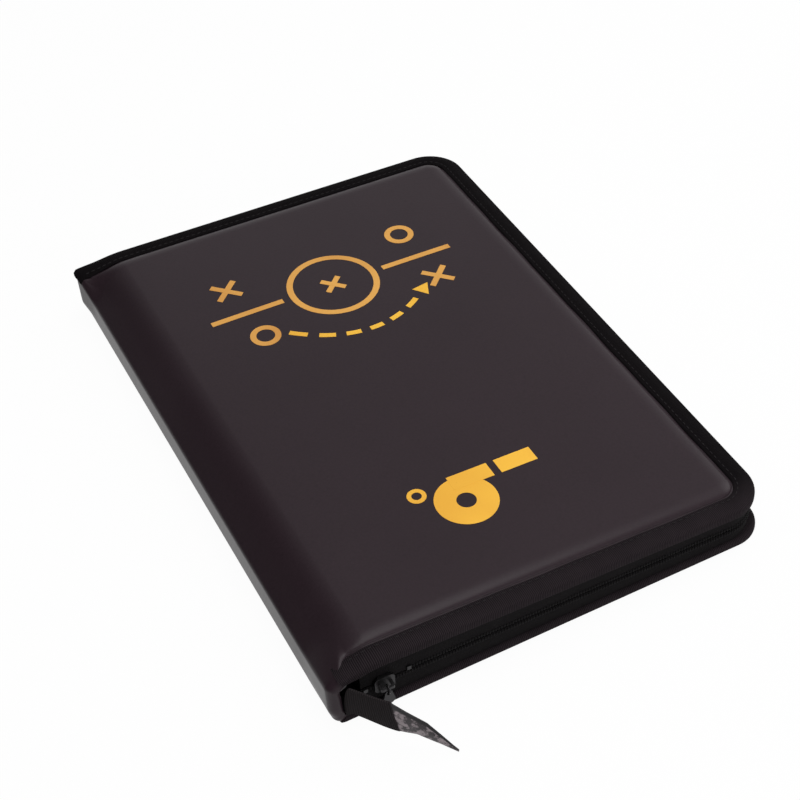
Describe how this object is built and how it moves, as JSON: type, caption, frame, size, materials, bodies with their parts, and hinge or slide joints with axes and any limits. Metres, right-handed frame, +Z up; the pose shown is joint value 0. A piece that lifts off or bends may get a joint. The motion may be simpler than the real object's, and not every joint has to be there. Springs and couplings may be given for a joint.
{
  "type": "folding tactics board",
  "caption": "Zip-round folding tactics board: padded leather covers on a two-fold spine open flat to a magnetic pitch with team discs, a marker pen and a running zip slider.",
  "frame": {"origin": "middle of the back cover's resting face", "axes": "+X from the spine to the fore-edge, +Y along the spine away from the slider's end, +Z up"},
  "size_m": [0.234, 0.3759, 0.0358],
  "materials": {
    "leather": "soft grained leather cloth, satin",
    "foam": "open foam",
    "board": "grey board",
    "binding": "woven ribbon",
    "lining": "plain woven lining",
    "steel": "galvanised sheet",
    "pitch": "printed dry-wipe film",
    "zip_tape": "herringbone tape",
    "zip_coil": "moulded nylon coil",
    "zip_metal": "gunmetal plate",
    "tail_film": "stiff film over tape",
    "elastic": "woven elastic",
    "pen_plastic": "moulded plastic",
    "felt": "pressed felt",
    "disc_home": "moulded plastic",
    "disc_away": "moulded plastic",
    "disc_ball": "moulded plastic",
    "magnet": "ferrite"
  },
  "bodies": {
    "back_cover": {"back_skin": "leather", "back_pad": "foam", "back_board": "board", "back_binding": "binding", "back_lining": "lining", "back_steel_sheet": "steel", "back_pitch_sheet": "pitch", "lower_zip_tape": "zip_tape", "lower_zip_coil": "zip_coil", "lower_zip_stops": "zip_metal", "zip_tail_tape": "zip_tape", "zip_tail_tip": "tail_film", "pen_loops": "elastic", "home_discs": "disc_home", "home_disc_magnets": "magnet"},
    "spine": {"spine_skin": "leather", "spine_board": "board", "spine_lining": "lining", "back_fold": "leather", "front_fold": "leather", "back_hinge_lining": "lining", "front_hinge_lining": "lining"},
    "front_cover": {"front_skin": "leather", "front_pad": "foam", "front_board": "board", "front_binding": "binding", "front_lining": "lining", "front_steel_sheet": "steel", "front_pitch_sheet": "pitch", "upper_zip_tape": "zip_tape", "upper_zip_coil": "zip_coil", "upper_zip_stops": "zip_metal", "away_discs": "disc_away", "away_disc_magnets": "magnet"},
    "zip_slider": {"slider_body": "zip_metal", "slider_bail": "zip_metal"},
    "zip_pull": {"pull_ring": "zip_metal", "pull_tab": "zip_metal"},
    "pen": {"pen_barrel": "pen_plastic", "pen_ink_core": "felt", "pen_nib": "felt", "pen_end_plug": "pen_plastic"},
    "pen_cap": {"pen_cap": "pen_plastic", "cap_eraser": "felt"},
    "home_forward": {"home_forward_disc": "disc_home", "home_forward_magnet": "magnet"},
    "away_forward": {"away_forward_disc": "disc_away", "away_forward_magnet": "magnet"},
    "ball": {"ball_disc": "disc_ball", "ball_magnet": "magnet"}
  },
  "joints": [
    {"name": "spine_fold", "type": "hinge", "parent": "back_cover", "child": "spine", "pos_m": [-0.11593, 0, 0.00107], "axis": [0, -1, 0], "range_deg": [0, 90], "deforming": ["back_fold", "back_hinge_lining"]},
    {"name": "cover_fold", "type": "hinge", "parent": "spine", "child": "front_cover", "pos_m": [-0.11294, 0, 0.03226], "axis": [0, -1, 0], "range_deg": [0, 92.15], "deforming": ["front_fold", "front_hinge_lining"]},
    {"name": "slider_travel", "type": "slide", "parent": "back_cover", "child": "zip_slider", "axis": [0.9998, 0, -0.0188], "range_m": [0, 0.17]},
    {"name": "pull_swing", "type": "hinge", "parent": "zip_slider", "child": "zip_pull", "pos_m": [-0.091, -0.1717, 0.017], "axis": [-0.9998, 0, 0.0188], "range_deg": [0, 100]},
    {"name": "pen_slide", "type": "slide", "parent": "back_cover", "child": "pen", "axis": [0, -1, 0], "range_m": [0, 0.05]},
    {"name": "cap_pull", "type": "slide", "parent": "pen", "child": "pen_cap", "axis": [0, -1, 0], "range_m": [0, 0.03]},
    {"name": "home_forward_slide", "type": "slide", "parent": "back_cover", "child": "home_forward", "axis": [1, 0, 0], "range_m": [-0.035, 0.025]},
    {"name": "away_forward_slide", "type": "slide", "parent": "front_cover", "child": "away_forward", "axis": [0.9993, 0, -0.0375], "range_m": [-0.035, 0.025]},
    {"name": "ball_slide", "type": "slide", "parent": "back_cover", "child": "ball", "axis": [1, 0, 0], "range_m": [0, 0.14]}
  ]
}
